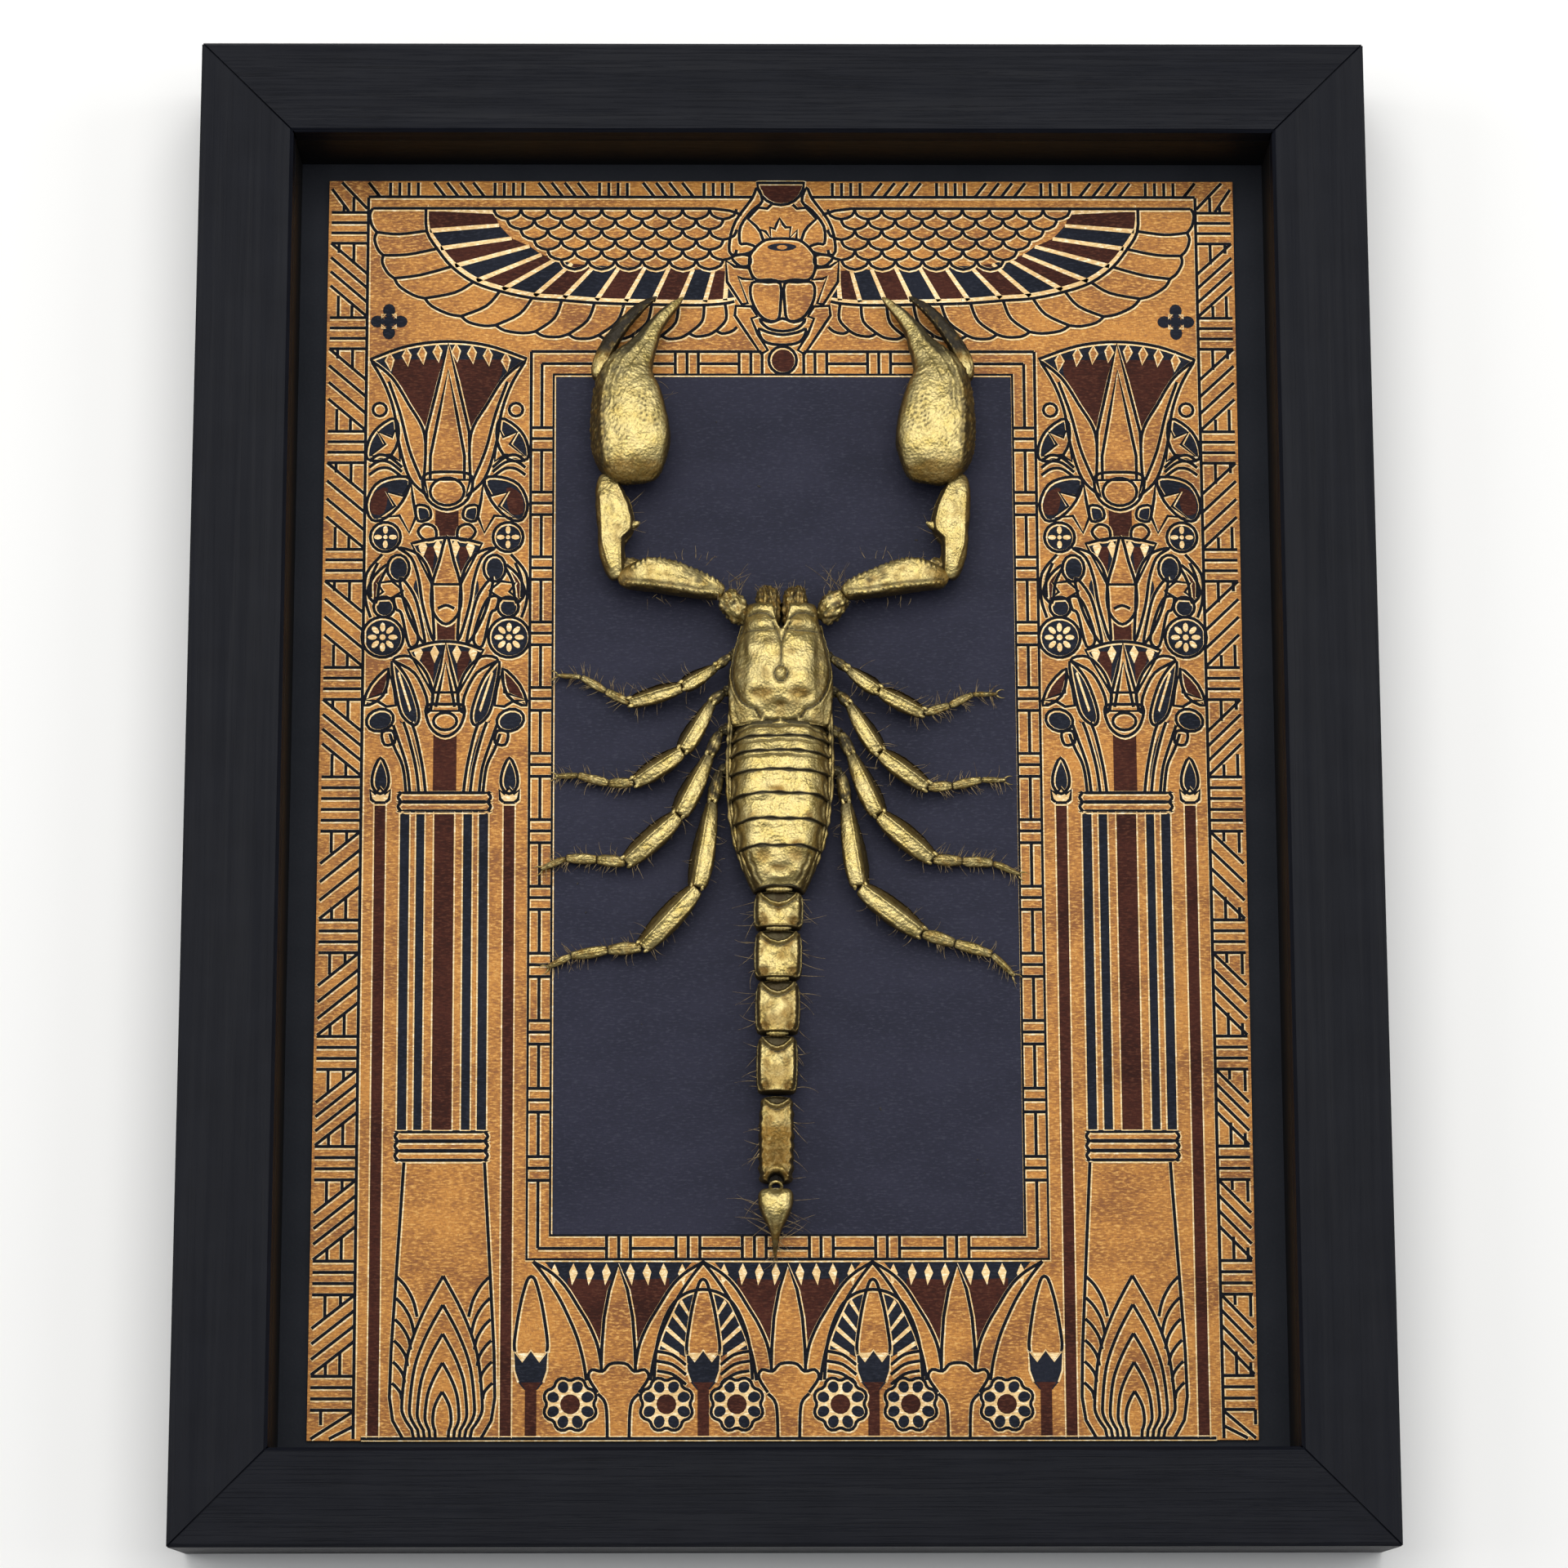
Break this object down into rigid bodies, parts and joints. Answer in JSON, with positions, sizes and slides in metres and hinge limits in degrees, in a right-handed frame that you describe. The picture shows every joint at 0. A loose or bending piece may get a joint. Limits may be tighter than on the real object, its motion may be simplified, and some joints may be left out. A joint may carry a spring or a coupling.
{
  "type": "mounted scorpion in box frame",
  "caption": "Gold-painted scorpion spread over an ornamental gold and navy print in a deep black wooden box frame, lying on its back.",
  "frame": {"origin": "middle of the frame's back face, which is the bottom of the bounding box as it lies", "axes": "+Z out of the picture's face, +Y towards the picture's top, +X to its right"},
  "size_m": [0.209, 0.2676, 0.027],
  "materials": {
    "black_rail": "satin black paint over open-grained wood",
    "black_spacer": "matt brown-black stain",
    "navy_card": "matt navy mount board",
    "gold_print": "matt navy and maroon with raised copper-gold areas",
    "fibre_board": "raw hardboard",
    "steel": "zinc plated",
    "gold_paint": "antique gold paint over dried shell, brown in the creases"
  },
  "bodies": {
    "root": {"rail_top": "black_rail", "rail_bottom": "black_rail", "rail_left": "black_rail", "rail_right": "black_rail", "spacer_top": "black_spacer", "spacer_bottom": "black_spacer", "spacer_left": "black_spacer", "spacer_right": "black_spacer", "mount_card": "navy_card", "print_panel": "gold_print", "backing_board": "fibre_board", "sawtooth_hanger": "steel", "retaining_tab_1": "steel", "retaining_tab_2": "steel", "retaining_tab_3": "steel", "retaining_tab_4": "steel", "retaining_tab_5": "steel", "retaining_tab_6": "steel", "scorpion_carapace": "gold_paint", "scorpion_mesosoma": "gold_paint", "scorpion_tail": "gold_paint", "scorpion_telson": "gold_paint", "chelicera_left": "gold_paint", "chelicera_right": "gold_paint", "palp_femur_left": "gold_paint", "palp_femur_right": "gold_paint", "palp_patella_left": "gold_paint", "palp_patella_right": "gold_paint", "chela_left": "gold_paint", "chela_right": "gold_paint", "finger_left": "gold_paint", "finger_right": "gold_paint", "leg_left_1": "gold_paint", "leg_left_2": "gold_paint", "leg_left_3": "gold_paint", "leg_left_4": "gold_paint", "leg_right_1": "gold_paint", "leg_right_2": "gold_paint", "leg_right_3": "gold_paint", "leg_right_4": "gold_paint"}
  },
  "joints": []
}
